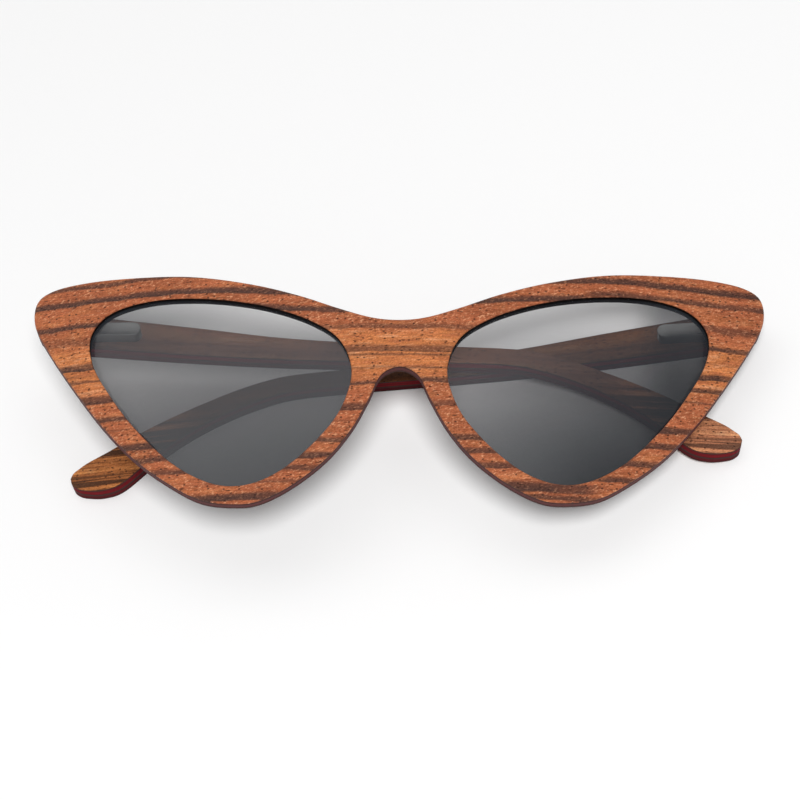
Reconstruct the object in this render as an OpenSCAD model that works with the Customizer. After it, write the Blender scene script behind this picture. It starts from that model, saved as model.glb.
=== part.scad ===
// Folded wooden cat-eye sunglasses with sprung hinges, lying on the left temple.
// Millimetres, Z up. Left and right are the wearer's; the wearer's left is at +X.

/* [Front] */
// Width over the two cat-eye corners
front_width = 149; // [135:0.5:155]
// Height from the lower rim to the upper corner
front_height = 50.2; // [44:0.2:58]
// Radius of the bend across the front, on the outer face
front_radius = 210; // [150:5:320]
// Thickness of the outer face veneer
face_veneer_t = 0.6; // [0.5:0.1:1.2]
// Thickness of the middle layer that holds the lenses
front_core_t = 2.2; // [2.1:0.1:3.2]
// Thickness of the rear veneer
back_veneer_t = 0.6; // [0.5:0.1:1.2]

/* [Lenses] */
// Thickness of a lens
lens_t = 1.2; // [1:0.1:1.8]
// Wood of the middle layer left behind the lens groove
lens_back_lip = 0.15; // [0.1:0.05:0.2]
// Depth of the groove around a lens opening
groove_depth = 1; // [0.6:0.1:1.5]
// Space between the lens edge and the floor of its groove
lens_edge_gap = 0.15; // [0.05:0.05:0.3]
// Space between a lens face and the wall of its groove
lens_face_gap = 0.05; // [0.02:0.01:0.1]

/* [Temples] */
// Length from the hinge axis to the tip
temple_len = 137.5; // [125:0.5:150]
// Thickness of the inner face veneer
inner_veneer_t = 0.4; // [0.3:0.1:0.8]
// Thickness of the red layer behind the inner veneer
inner_red_t = 1.4; // [0.8:0.1:1.6]
// Thickness of the dark middle layer
temple_core_t = 0.5; // [0.4:0.1:1.2]
// Thickness of the red layer in front of the outer veneer
outer_red_t = 1.1; // [0.6:0.1:1.4]
// Thickness of the outer face veneer
outer_veneer_t = 0.4; // [0.3:0.1:0.8]
// Share by which the temple is taller or lower than drawn
temple_height_k = 1; // [0.85:0.01:1.2]

/* [Folded pose] */
// Angle of the left temple behind the line of the hinges
left_fold = 6.3; // [6:0.1:8]
// Lean of the hinge axes against the front
hinge_lean = 10; // [4:0.5:14]

/* [Hinges] */
// Distance of a hinge axis in from the corner of the front
hinge_inset = 6.5; // [5:0.1:9]
// Height of the hinge axis above the lower rim
hinge_rise = 44.1; // [40:0.1:46]
// Space from the hinge axis to the temple's inner face
hinge_standoff = 1.6; // [1.6:0.05:2.4]
// Radius of the knuckles
knuckle_r = 1.3; // [1.1:0.05:1.3]
// Height of the middle knuckle
mid_knuckle_h = 1.3; // [1:0.05:1.6]
// Height of each outer knuckle
outer_knuckle_h = 1.1; // [0.8:0.05:1.3]
// Space between two knuckles
knuckle_gap = 0.1; // [0.05:0.01:0.15]
// Radius of the hinge pin
pin_r = 0.6; // [0.5:0.05:0.7]
// Running clearance of the pin in the middle knuckle
pin_run = 0.04; // [0.02:0.01:0.06]
// Radius of the pin's head
pin_head_r = 1; // [0.9:0.05:1.2]
// Height of the pin's head
pin_head_h = 0.5; // [0.4:0.05:0.7]
// Thickness of the leaf plate on the front
leaf_t = 0.8; // [0.6:0.05:1]
// Height of the leaf plate
leaf_h = 9.2; // [8.6:0.1:10]
// Reach of the leaf plate from the axis towards the lens
leaf_reach = 4; // [3:0.1:4.2]
// Reach of the leaf plate from the axis towards the corner
leaf_back = 1.2; // [1:0.1:2]
// Space kept between parts that pass each other
pass_gap = 0.3; // [0.2:0.05:0.4]
// Clearance of a screw in its own hole
screw_fit = 0.02; // [0.01:0.005:0.04]
// Shank radius of a leaf screw
screw_r = 0.45; // [0.35:0.05:0.55]
// Head radius of a leaf screw
screw_head_r = 0.9; // [0.7:0.05:1]
// Depth of a leaf screw's tapered head
screw_head_h = 0.4; // [0.3:0.05:0.5]
// Length of a leaf screw
screw_len = 3.2; // [2.4:0.1:3.6]
// Distance of the leaf screws above and below the axis
screw_rise = 3.2; // [3:0.05:3.6]

/* [Spring boxes] */
// Distance from the hinge axis to the box
box_start = 2.6; // [2.4:0.05:3]
// Length of the box
box_len = 11.8; // [10:0.1:13]
// Height of the box
box_h = 3; // [2.8:0.1:3.8]
// Depth of the box let into the temple
box_root = 0.8; // [0.5:0.05:1.2]
// Clearance of the box in its pocket
pocket_fit = 0.05; // [0.02:0.01:0.1]
// Radius of the spring chamber
chamber_r = 1; // [0.95:0.01:1.05]
// Thickness of the wall the rod passes through
box_wall = 1.6; // [1:0.1:2]
// Radius of the rod
rod_r = 0.5; // [0.4:0.02:0.54]
// Running clearance of the rod in the box wall
rod_run = 0.05; // [0.02:0.01:0.08]
// Travel of the box along the rod
spring_travel = 1.5; // [1:0.1:2]
// Thickness of the nut at the end of the rod
nut_t = 0.8; // [0.6:0.05:1]
// Space between the nut and the chamber wall
nut_gap = 0.12; // [0.05:0.01:0.15]
// Radius of the spring wire
wire_r = 0.13; // [0.1:0.01:0.14]
// Number of turns of the spring
spring_turns = 8; // [6:1:9]
// Thickness of the plug that closes the chamber
plug_t = 0.6; // [0.4:0.05:0.8]

/* [Hidden] */
$fn = 48;
eps = 0.01;
half_outer = [[0, 17.2], [5.5, 17.8], [12.1, 19.9], [20.2, 23], [30, 26], [41.9, 28.5],
  [54, 29.5], [64, 29.7], [71, 28.9], [74.3, 26.6], [74.4, 21.6], [71.2, 15.4], [65.4, 6.4],
  [59.2, -2.2], [52.7, -9.5], [46, -15], [39.1, -19.2], [32.3, -20.5], [27, -20],
  [20.6, -16.8], [14.2, -11.7], [9.4, -5.7], [6.1, 0.4], [3.7, 5.4], [0, 7.2]];
lens_points = [[62.6, 16.4], [60.9, 20.3], [56.9, 22.8], [50, 24], [42, 23.8], [33.5, 22.6],
  [25.5, 20.6], [17.8, 17.5], [12.1, 13.4], [9.6, 7.7], [10.1, 2.4], [13, -3.9],
  [19.2, -10.8], [25.5, -15.2], [31.8, -16.8], [38, -15.5], [45.1, -11], [52.4, -3.4],
  [57.6, 3.8], [61.5, 10.7]];
drawn_low = -min([for (q = half_outer) q.y]);
drawn_top = max([for (q = half_outer) q.y]);
kx = front_width / 149;
ky = front_height / (drawn_top + drawn_low);
temple_upper = [[-2.1, 5.3], [8.2, 4.2], [26.4, 1.8], [45.5, -0.8], [70, -2.5], [89.2, -3.4],
  [96.2, -4.4], [103.2, -6.5], [110.9, -9.6], [118.2, -12.9], [124.4, -16.2], [129.6, -19.45],
  [134, -21.95], [135.9, -23.4], [137, -24.4], [137.5, -25.6]];
temple_lower = [[137.5, -25.6], [137.1, -27], [136.1, -27.95], [134.4, -28.55], [130.6, -28.75],
  [126.4, -27.2], [119.6, -21],
  [113, -16.2], [105.6, -12.2], [98.2, -9.3], [90.4, -7.5], [74.5, -6.8], [47.5, -6.1],
  [25.8, -4.8], [4, -2.95], [-2.1, -2.4]];
function cr(a, b, c, d, t) = 0.5 * (2 * b + (c - a) * t + (2 * a - 5 * b + 4 * c - d) * t * t
  + (3 * b - a - 3 * c + d) * t * t * t);
function ring(p, n) = let(m = len(p)) [for (i = [0 : m - 1], k = [0 : n - 1])
  cr(p[(i + m - 1) % m], p[i], p[(i + 1) % m], p[(i + 2) % m], k / n)];
function run(p, n) = let(m = len(p) - 1) [for (i = [0 : m - 1], k = [0 : n - 1])
  cr(p[max(i - 1, 0)], p[i], p[i + 1], p[min(i + 2, m)], k / n)];
function grown(p, d) = let(m = len(p)) [for (i = [0 : m - 1])
  let(t = p[(i + 1) % m] - p[(i + m - 1) % m]) p[i] + d * [t.y, -t.x] / norm(t)];
function sized(p) = [for (q = p) [q.x * kx, q.y * ky]];
outer_n = len(half_outer);
outer_line = ring(sized(concat(half_outer,
  [for (i = [outer_n - 2 : -1 : 1]) [-half_outer[i].x, half_outer[i].y]])), 4);
lens_line = ring(sized(lens_points), 4);
temple_k = temple_len / 137.5;
function along(p) = [for (q = p) [-(q.x > 0 ? q.x * temple_k : q.x), q.y * temple_height_k]];
temple_line = concat(run(along(temple_upper), 5), run(along(temple_lower), 5),
  [along(temple_lower)[len(temple_lower) - 1]]);
front_t = face_veneer_t + front_core_t + back_veneer_t;
temple_t = inner_veneer_t + inner_red_t + temple_core_t + outer_red_t + outer_veneer_t;
lens_r = front_radius - face_veneer_t - front_core_t + lens_back_lip + lens_face_gap + lens_t;
hinge_x = front_width / 2 - hinge_inset;
right_fold = asin(2 * hinge_x * sin(left_fold) / temple_len) - left_fold;
hinge_y = hinge_rise - drawn_low * ky;
leaf_z = knuckle_r + pass_gap;
block_z = leaf_z + leaf_t;
corner_back = front_radius - sqrt(pow(front_radius - front_t, 2) - pow(front_width / 2, 2));
block_least = 1.65;
hinge_z = -corner_back - block_least - block_z;
knuckle_top = mid_knuckle_h / 2 + knuckle_gap + outer_knuckle_h;
box_end = box_start + box_len;
box_top = leaf_z - pass_gap;
rod_end = box_end - plug_t - 1.05;
neck_gap = 0.2;
spring_r = (rod_r + chamber_r) / 2;
spring_gap = 0.06;
mount_b = -4;

// Front axes: X across, Y up the front, Z out of the face. The left temple ends up flat on Z = 0.
module lay() {
  translate([hinge_x, -mount_b, hinge_standoff + temple_t])
    rotate([0, left_fold, 0])
      rotate([hinge_lean, 0, 0])
        translate([-hinge_x, -hinge_y, -hinge_z])
          children();
}

// Axes of a hinge: Y along the pin, Z towards the front, X away from the nose
module at_hinge() {
  translate([hinge_x, hinge_y, hinge_z]) rotate([-hinge_lean, 0, 0]) children();
}

module on_left() { lay() at_hinge() children(); }
module on_right() { lay() mirror([1, 0, 0]) at_hinge() children(); }
module left_swing() { on_left() rotate([0, -left_fold, 0]) children(); }
module right_swing() { on_right() rotate([0, -right_fold, 0]) children(); }

// Bent sheet between two radii, axis along the height of the front
module bent(r_out, r_in) {
  translate([0, 0, -front_radius]) rotate([-90, 0, 0]) difference() {
    cylinder(h = 2 * front_width, r = r_out, center = true, $fn = 180);
    cylinder(h = 3 * front_width, r = r_in, center = true, $fn = 180);
  }
}

module slab(line) {
  translate([0, 0, -front_width / 2]) linear_extrude(height = front_width) polygon(line);
}

module both_lenses(d) {
  slab(grown(lens_line, d));
  mirror([1, 0, 0]) slab(grown(lens_line, d));
}

module front_layer(depth, t) {
  intersection() {
    difference() {
      slab(outer_line);
      both_lenses(0);
    }
    bent(front_radius - depth, front_radius - depth - t);
  }
}

// Front layers
module front_face_veneer() {
  color([0.72, 0.43, 0.24]) lay() front_layer(0, face_veneer_t);
}

module front_core() {
  color([0.28, 0.14, 0.14]) lay() difference() {
    front_layer(face_veneer_t, front_core_t);
    intersection() {
      both_lenses(groove_depth);
      bent(lens_r + lens_face_gap, lens_r - lens_t - lens_face_gap);
    }
  }
}

module front_back_veneer() {
  color([0.6, 0.36, 0.22]) lay() front_layer(face_veneer_t + front_core_t, back_veneer_t);
}

module lens() {
  intersection() {
    slab(grown(lens_line, groove_depth - lens_edge_gap));
    bent(lens_r, lens_r - lens_t);
  }
}

module left_lens() { color([0.3, 0.31, 0.33, 0.6]) lay() lens(); }
module right_lens() { color([0.3, 0.31, 0.33, 0.6]) lay() mirror([1, 0, 0]) lens(); }

// Blocks that thicken the ends of the front and carry the hinges
module screw_places() {
  for (s = [-1, 1])
    translate([(leaf_back - leaf_reach) / 2, s * screw_rise, leaf_z]) children();
}

module end_block() {
  difference() {
    intersection() {
      slab(outer_line);
      translate([0, 0, -front_radius]) rotate([-90, 0, 0])
        cylinder(h = 2 * front_width, r = front_radius - front_t, center = true, $fn = 180);
      at_hinge() translate([-leaf_reach - 0.2, -leaf_h / 2 - 0.5, block_z])
        cube([30, leaf_h + 0.7, 20]);
    }
    at_hinge() screw_places()
      cylinder(h = screw_len + 0.2, r = screw_r + screw_fit);
  }
}

module left_end_block() { color([0.36, 0.2, 0.15]) lay() end_block(); }
module right_end_block() { color([0.36, 0.2, 0.15]) lay() mirror([1, 0, 0]) end_block(); }

// Hinge leaf with its two knuckles
module leaf() {
  difference() {
    union() {
      translate([-leaf_reach, -leaf_h / 2, leaf_z])
        cube([leaf_reach + leaf_back, leaf_h, leaf_t]);
      for (y = [mid_knuckle_h / 2 + knuckle_gap, -knuckle_top]) translate([0, y, 0]) {
        rotate([-90, 0, 0]) cylinder(h = outer_knuckle_h, r = knuckle_r);
        translate([-leaf_back, 0, 0]) cube([2 * leaf_back, outer_knuckle_h, leaf_z + eps]);
      }
    }
    rotate([90, 0, 0]) cylinder(h = 4 * knuckle_top, r = pin_r + screw_fit, center = true);
    screw_places() {
      cylinder(h = leaf_t * 3, r = screw_r + screw_fit);
      translate([0, 0, -eps])
        cylinder(h = screw_head_h + eps, r1 = screw_head_r + screw_fit, r2 = screw_r + screw_fit);
    }
  }
}

module left_hinge_leaf() { color([0.72, 0.71, 0.68]) on_left() leaf(); }
module right_hinge_leaf() { color([0.72, 0.71, 0.68]) on_right() leaf(); }

module leaf_screws() {
  screw_places() difference() {
    union() {
      cylinder(h = screw_head_h, r1 = screw_head_r, r2 = screw_r);
      cylinder(h = screw_len, r = screw_r);
    }
    translate([-screw_head_r * 2, -0.12, -eps]) cube([screw_head_r * 4, 0.24, 0.2]);
  }
}

module left_leaf_screws() { color([0.78, 0.77, 0.74]) on_left() leaf_screws(); }
module right_leaf_screws() { color([0.78, 0.77, 0.74]) on_right() leaf_screws(); }

module pin() {
  difference() {
    union() {
      translate([0, -knuckle_top, 0]) rotate([-90, 0, 0])
        cylinder(h = 2 * knuckle_top + pin_head_h / 2, r = pin_r);
      translate([0, knuckle_top, 0]) rotate([-90, 0, 0])
        cylinder(h = pin_head_h, r = pin_head_r);
    }
    translate([-2 * pin_head_r, knuckle_top + pin_head_h - 0.2, -0.14])
      cube([4 * pin_head_r, 1, 0.28]);
  }
}

module left_hinge_pin() { color([0.8, 0.79, 0.76]) on_left() pin(); }
module right_hinge_pin() { color([0.8, 0.79, 0.76]) on_right() pin(); }

// Sprung middle knuckle on its rod
module slider() {
  difference() {
    union() {
      rotate([90, 0, 0]) cylinder(h = mid_knuckle_h, r = knuckle_r, center = true);
      translate([-box_start + neck_gap, -mid_knuckle_h / 2, -0.9])
        cube([box_start - neck_gap, mid_knuckle_h, 1.8]);
      translate([-rod_end, 0, 0]) rotate([0, 90, 0])
        cylinder(h = rod_end - 1.5, r = rod_r);
    }
    rotate([90, 0, 0]) cylinder(h = 10, r = pin_r + pin_run, center = true);
  }
}

module left_hinge_slider() { color([0.7, 0.69, 0.66]) left_swing() slider(); }
module right_hinge_slider() { color([0.7, 0.69, 0.66]) right_swing() slider(); }

module rod_nut() {
  translate([-rod_end, 0, 0]) rotate([0, 90, 0]) difference() {
    cylinder(h = nut_t, r = chamber_r - nut_gap);
    translate([0, 0, -1]) cylinder(h = nut_t + 2, r = rod_r + screw_fit);
  }
}

module left_rod_nut() { color([0.75, 0.65, 0.4]) left_swing() rod_nut(); }
module right_rod_nut() { color([0.75, 0.65, 0.4]) right_swing() rod_nut(); }

// Compression spring around the rod
spring_x0 = -box_start - box_wall - wire_r - spring_gap;
spring_x1 = -rod_end + nut_t + wire_r + spring_gap;
coil_steps = 12;
coil_sides = 6;
module spring() {
  n = spring_turns * coil_steps;
  rise = (spring_x1 - spring_x0) / n;
  pts = [for (i = [0 : n], k = [0 : coil_sides - 1])
    let(a = 360 * i / coil_steps, b = 360 * k / coil_sides, r = spring_r + wire_r * cos(b))
      [spring_x0 + rise * i + wire_r * sin(b), r * cos(a), r * sin(a)]];
  walls = [for (i = [0 : n - 1], k = [0 : coil_sides - 1])
    let(k1 = (k + 1) % coil_sides)
      [i * coil_sides + k, i * coil_sides + k1, (i + 1) * coil_sides + k1, (i + 1) * coil_sides + k]];
  first = [for (k = [coil_sides - 1 : -1 : 0]) k];
  last = [for (k = [0 : coil_sides - 1]) n * coil_sides + k];
  polyhedron(points = pts, faces = concat(walls, [first], [last]), convexity = 10);
}

module left_hinge_spring() { color([0.6, 0.6, 0.6]) left_swing() spring(); }
module right_hinge_spring() { color([0.6, 0.6, 0.6]) right_swing() spring(); }

// Spring box let into the temple
box_round = box_h / 2;
module box_body(fit) {
  translate([0, 0, -hinge_standoff - box_root - fit])
    linear_extrude(height = box_top + hinge_standoff + box_root + 2 * fit) union() {
      translate([-box_end + box_round, -box_h / 2 - fit])
        square([box_len - box_round + fit, box_h + 2 * fit]);
      translate([-box_end + box_round, 0]) circle(r = box_round + fit);
    }
}

module spring_box() {
  difference() {
    box_body(0);
    translate([-box_end - 1, 0, 0]) rotate([0, 90, 0])
      cylinder(h = box_len + 1 - box_wall, r = chamber_r);
    translate([-box_end, 0, 0]) rotate([0, 90, 0]) cylinder(h = box_len + 1, r = rod_r + rod_run);
  }
}

module left_spring_box() { color([0.74, 0.73, 0.7]) left_swing() spring_box(); }
module right_spring_box() { color([0.74, 0.73, 0.7]) right_swing() spring_box(); }

module box_plug() {
  translate([-box_end + 0.4, 0, 0]) rotate([0, 90, 0])
    cylinder(h = plug_t, r = chamber_r - screw_fit);
}

module left_box_plug() { color([0.74, 0.73, 0.7]) left_swing() box_plug(); }
module right_box_plug() { color([0.74, 0.73, 0.7]) right_swing() box_plug(); }

// Temple layers, from the inner face outwards
module temple_layer(depth, t) {
  difference() {
    translate([0, 0, -hinge_standoff - depth - t])
      linear_extrude(height = t) polygon(temple_line);
    box_body(pocket_fit);
  }
}

depth_red = inner_veneer_t;
depth_core = depth_red + inner_red_t;
depth_outer_red = depth_core + temple_core_t;
depth_outer = depth_outer_red + outer_red_t;
module inner_veneer() { color([0.62, 0.38, 0.22]) temple_layer(0, inner_veneer_t); }
module inner_red() { color([0.5, 0.07, 0.12]) temple_layer(depth_red, inner_red_t); }
module core() { color([0.25, 0.14, 0.12]) temple_layer(depth_core, temple_core_t); }
module outer_red() { color([0.5, 0.07, 0.12]) temple_layer(depth_outer_red, outer_red_t); }
module outer_veneer() { color([0.55, 0.33, 0.2]) temple_layer(depth_outer, outer_veneer_t); }

module left_temple_inner_veneer() { left_swing() inner_veneer(); }
module right_temple_inner_veneer() { right_swing() inner_veneer(); }
module left_temple_inner_red() { left_swing() inner_red(); }
module right_temple_inner_red() { right_swing() inner_red(); }
module left_temple_core() { left_swing() core(); }
module right_temple_core() { right_swing() core(); }
module left_temple_outer_red() { left_swing() outer_red(); }
module right_temple_outer_red() { right_swing() outer_red(); }
module left_temple_outer_veneer() { left_swing() outer_veneer(); }
module right_temple_outer_veneer() { right_swing() outer_veneer(); }

front_face_veneer();
front_core();
front_back_veneer();
left_lens();
right_lens();
left_end_block();
right_end_block();
left_hinge_leaf();
right_hinge_leaf();
left_leaf_screws();
right_leaf_screws();
left_hinge_pin();
right_hinge_pin();
left_hinge_slider();
right_hinge_slider();
left_rod_nut();
right_rod_nut();
left_hinge_spring();
right_hinge_spring();
left_spring_box();
right_spring_box();
left_box_plug();
right_box_plug();
left_temple_inner_veneer();
right_temple_inner_veneer();
left_temple_inner_red();
right_temple_inner_red();
left_temple_core();
right_temple_core();
left_temple_outer_red();
right_temple_outer_red();
left_temple_outer_veneer();
right_temple_outer_veneer();
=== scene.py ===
"""Folded wooden cat-eye sunglasses on a white table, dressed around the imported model."""
import math

import bmesh
import bpy
import numpy as np
from mathutils import Matrix, Vector
from mathutils.geometry import delaunay_2d_cdt


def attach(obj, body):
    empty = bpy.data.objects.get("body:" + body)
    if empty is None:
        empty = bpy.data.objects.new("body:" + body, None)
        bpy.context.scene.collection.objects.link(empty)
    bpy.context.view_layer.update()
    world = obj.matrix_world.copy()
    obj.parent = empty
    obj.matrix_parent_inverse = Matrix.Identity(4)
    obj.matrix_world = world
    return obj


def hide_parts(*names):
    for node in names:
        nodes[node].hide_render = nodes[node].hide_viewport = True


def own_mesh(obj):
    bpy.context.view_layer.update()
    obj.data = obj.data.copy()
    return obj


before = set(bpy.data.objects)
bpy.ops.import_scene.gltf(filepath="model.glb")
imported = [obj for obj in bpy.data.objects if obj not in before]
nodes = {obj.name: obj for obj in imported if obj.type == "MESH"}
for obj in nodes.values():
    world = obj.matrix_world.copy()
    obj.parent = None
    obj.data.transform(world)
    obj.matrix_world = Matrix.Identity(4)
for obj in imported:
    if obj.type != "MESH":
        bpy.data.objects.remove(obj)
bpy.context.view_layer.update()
scene = bpy.context.scene
scene.view_settings.view_transform = "Standard"

# Sizes in millimetres, as in the part's source
MM = 0.001
FRONT_RADIUS = 210.0
FRONT_HALF = 74.5
FACE_VENEER_T = 0.6
CORE_END = 2.8
FRONT_T = 3.4
LENS_TOP = 1.4
LENS_END = 2.6
LENS_GROWTH = 0.85
GROOVE_GROWTH = 1.0
GROOVE_TOP = 1.35
GROOVE_END = 2.65
BLOCK_LEAST = 1.65
LEAF_Z = 1.6
LEAF_T = 0.8
STANDOFF = 1.6
TEMPLE_LEN = 137.5
TEMPLE_LAYERS = (0.0, 0.4, 1.8, 2.3, 3.4, 3.8)
BOX_TOP = 1.3
BOX_SPAN = (2.6, 14.4)
BOX_HALF_H = 1.5
POCKET_FIT = 0.05
SCREW = {"Head Radius": 0.9, "Shank Radius": 0.45, "Head Depth": 0.4, "Length": 3.2, "Rise": 3.2,
         "Slot Width": 0.24, "Slot Depth": 0.2}
SCREW_X = -1.4
SPRING = {"Coil Radius": 0.75, "Wire Radius": 0.13, "Turns": 8.0, "Length": 7.37}
SPRING_START = -11.76
FACE_ROUND = 0.4
BACK_ROUND = 0.5
HOLE_ROUND = 0.3
LENS_CHAMFER = 0.15
TEMPLE_ROUND = 0.2

# Fineness of the meshes: steps of the curves, welding distances in millimetres, and angles
FRONT_STEPS = 12
TEMPLE_STEPS = 10
ARC_STEPS = 24
WELD = 0.0001
PACKED_WELD = 0.001
FLAT_ANGLE = math.radians(0.3)
SHARP_ANGLE = math.radians(35)
EASED_ANGLE = math.radians(30)
SMOOTH_ANGLE = math.radians(40)

# Hinge place and folds of the photographed rest
CORNER_BACK = FRONT_RADIUS - math.sqrt((FRONT_RADIUS - FRONT_T) ** 2 - FRONT_HALF ** 2)
HINGE = Vector((68.0, 23.6, -CORNER_BACK - BLOCK_LEAST - LEAF_Z - LEAF_T))
LEAN = math.radians(10.0)
LEFT_FOLD = math.radians(6.3)
RIGHT_FOLD = math.asin(2 * HINGE.x * math.sin(LEFT_FOLD) / TEMPLE_LEN) - LEFT_FOLD
REST = Vector((HINGE.x, 4.0, STANDOFF + TEMPLE_LAYERS[-1]))

HALF_OUTER = [
    (0, 17.2), (5.5, 17.8), (12.1, 19.9), (20.2, 23), (30, 26), (41.9, 28.5), (54, 29.5),
    (64, 29.7), (71, 28.9), (74.3, 26.6), (74.4, 21.6), (71.2, 15.4), (65.4, 6.4), (59.2, -2.2),
    (52.7, -9.5), (46, -15), (39.1, -19.2), (32.3, -20.5), (27, -20), (20.6, -16.8),
    (14.2, -11.7), (9.4, -5.7), (6.1, 0.4), (3.7, 5.4), (0, 7.2)]
LENS_OPENING = [
    (62.6, 16.4), (60.9, 20.3), (56.9, 22.8), (50, 24), (42, 23.8), (33.5, 22.6), (25.5, 20.6),
    (17.8, 17.5), (12.1, 13.4), (9.6, 7.7), (10.1, 2.4), (13, -3.9), (19.2, -10.8),
    (25.5, -15.2), (31.8, -16.8), (38, -15.5), (45.1, -11), (52.4, -3.4), (57.6, 3.8),
    (61.5, 10.7)]
TEMPLE_UPPER = [
    (-2.1, 5.3), (8.2, 4.2), (26.4, 1.8), (45.5, -0.8), (70, -2.5), (89.2, -3.4), (96.2, -4.4),
    (103.2, -6.5), (110.9, -9.6), (118.2, -12.9), (124.4, -16.2), (129.6, -19.45), (134, -21.95),
    (135.9, -23.4), (137, -24.4), (137.5, -25.6)]
TEMPLE_LOWER = [
    (137.5, -25.6), (137.1, -27), (136.1, -27.95), (134.4, -28.55), (130.6, -28.75), (126.4, -27.2),
    (119.6, -21), (113, -16.2), (105.6, -12.2), (98.2, -9.3), (90.4, -7.5), (74.5, -6.8),
    (47.5, -6.1), (25.8, -4.8), (4, -2.95), (-2.1, -2.4)]

# Places: front axes to the row, hinge axes and the axes of each folded temple to the row
lay = (Matrix.Translation(REST) @ Matrix.Rotation(LEFT_FOLD, 4, "Y")
       @ Matrix.Rotation(LEAN, 4, "X") @ Matrix.Translation(-HINGE))
at_hinge = Matrix.Translation(HINGE) @ Matrix.Rotation(-LEAN, 4, "X")
mirror_x = Matrix.Scale(-1, 4, (1, 0, 0))
hinge_places = {"left": lay @ at_hinge, "right": lay @ mirror_x @ at_hinge}
places = {side: hinge_places[side] @ Matrix.Rotation(-fold, 4, "Y")
          for side, fold in (("left", LEFT_FOLD), ("right", RIGHT_FOLD))}


# Outlines
def spline_point(a, b, c, d, t):
    return 0.5 * (2 * b + (c - a) * t + (2 * a - 5 * b + 4 * c - d) * t * t
                  + (3 * b - a - 3 * c + d) * t ** 3)


def closed_curve(points, steps):
    p = [Vector(q) for q in points]
    n = len(p)
    return [spline_point(p[i - 1], p[i], p[(i + 1) % n], p[(i + 2) % n], k / steps)
            for i in range(n) for k in range(steps)]


def open_curve(points, steps):
    p = [Vector(q) for q in points]
    n = len(p) - 1
    return [spline_point(p[max(i - 1, 0)], p[i], p[i + 1], p[min(i + 2, n)], k / steps)
            for i in range(n) for k in range(steps)]


def grown(line, d):
    """The closed line moved outwards by d, whichever way round it runs."""
    n = len(line)
    area = sum(line[i - 1].x * line[i].y - line[i].x * line[i - 1].y for i in range(n))
    side = math.copysign(1, area) * d
    moved = []
    for i in range(n):
        t = (line[(i + 1) % n] - line[i - 1]).normalized()
        moved.append(line[i] + side * Vector((t.y, -t.x)))
    return moved


outer_line = closed_curve(HALF_OUTER + [(-x, y) for x, y in HALF_OUTER[-2:0:-1]], FRONT_STEPS)
lens_line = closed_curve(LENS_OPENING, FRONT_STEPS)
left_right_lens = [lens_line, [Vector((-p.x, p.y)) for p in lens_line]]
temple_line = [Vector((-p.x, p.y)) for p in open_curve(TEMPLE_UPPER, TEMPLE_STEPS)
               + open_curve(TEMPLE_LOWER, TEMPLE_STEPS) + [Vector(TEMPLE_LOWER[-1])]]


def round_end_box(fit):
    near, far = BOX_SPAN
    r = BOX_HALF_H + fit
    centre = -far + BOX_HALF_H
    line = [Vector((-near + fit, -r)), Vector((-near + fit, r))]
    for k in range(ARC_STEPS + 1):
        a = math.pi / 2 + math.pi * k / ARC_STEPS
        line.append(Vector((centre + r * math.cos(a), r * math.sin(a))))
    return line


# Layers cut from sheet: a filled face, walls through the listed levels and a filled back
def inside(points, loop):
    x, y = points[:, 0][:, None], points[:, 1][:, None]
    a = np.array(loop)
    b = np.roll(a, -1, 0)
    crosses = (a[:, 1] > y) != (b[:, 1] > y)
    slope = (b[:, 0] - a[:, 0]) / np.where(b[:, 1] == a[:, 1], 1e-9, b[:, 1] - a[:, 1])
    return (np.sum(crosses & (x < slope * (y - a[:, 1]) + a[:, 0]), 1) % 2) == 1


def within(points, loops):
    keep = inside(points, loops[0])
    for hole in loops[1:]:
        keep &= ~inside(points, hole)
    return keep


def fill(loops, spacing):
    """Points and triangles that cover the first loop without the loops after it."""
    loops = [[tuple(p) for p in loop] for loop in loops]
    coords = [p for loop in loops for p in loop]
    edges = []
    for loop in loops:
        start = len(edges)
        n = len(loop)
        edges += [(start + i, start + (i + 1) % n) for i in range(n)]
    if spacing:
        rim = np.array(coords)
        low, high = rim.min(0), rim.max(0)
        gx, gy = np.meshgrid(np.arange(low[0], high[0], spacing), np.arange(low[1], high[1], spacing))
        grid = np.stack([gx.ravel(), gy.ravel()], 1)
        grid = grid[within(grid, loops)]
        near = np.array([np.min(np.sum((rim - g) ** 2, 1)) for g in grid])
        coords += [tuple(g) for g in grid[near > (0.6 * spacing) ** 2]]
    points, _, faces, *_ = delaunay_2d_cdt([Vector(c) for c in coords], edges, [], 0, 1e-7)
    middles = np.array([[sum(points[i][k] for i in f) / len(f) for k in (0, 1)] for f in faces])
    kept = within(middles, loops)
    return points, [f for f, k in zip(faces, kept) if k]


def bent(x, y, depth):
    return Vector((x, y, -FRONT_RADIUS + math.sqrt((FRONT_RADIUS - depth) ** 2 - x * x)))


def flat(top):
    return lambda x, y, depth: Vector((x, y, top - depth))


def rounded(levels, face_round=0.0, back_round=0.0):
    """Depths and insets of a wall whose first and last edges are rounded."""
    first, last = levels[0], levels[-1]
    turns = [math.radians(a) for a in (0, 22.5, 45, 67.5, 90)]
    made = []
    if face_round:
        made += [(first + face_round * (1 - math.cos(a)), face_round * (1 - math.sin(a))) for a in turns]
    else:
        made.append((first, 0.0))
    made += [(d, 0.0) for d in levels[1:-1]]
    if back_round:
        made += [(last - back_round * (1 - math.sin(a)), back_round * (1 - math.cos(a))) for a in turns]
    else:
        made.append((last, 0.0))
    return made


def add_piece(name, mesh, body, node):
    piece = bpy.data.objects.new(name, mesh)
    scene.collection.objects.link(piece)
    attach(piece, body)
    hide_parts(node)
    return piece


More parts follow.
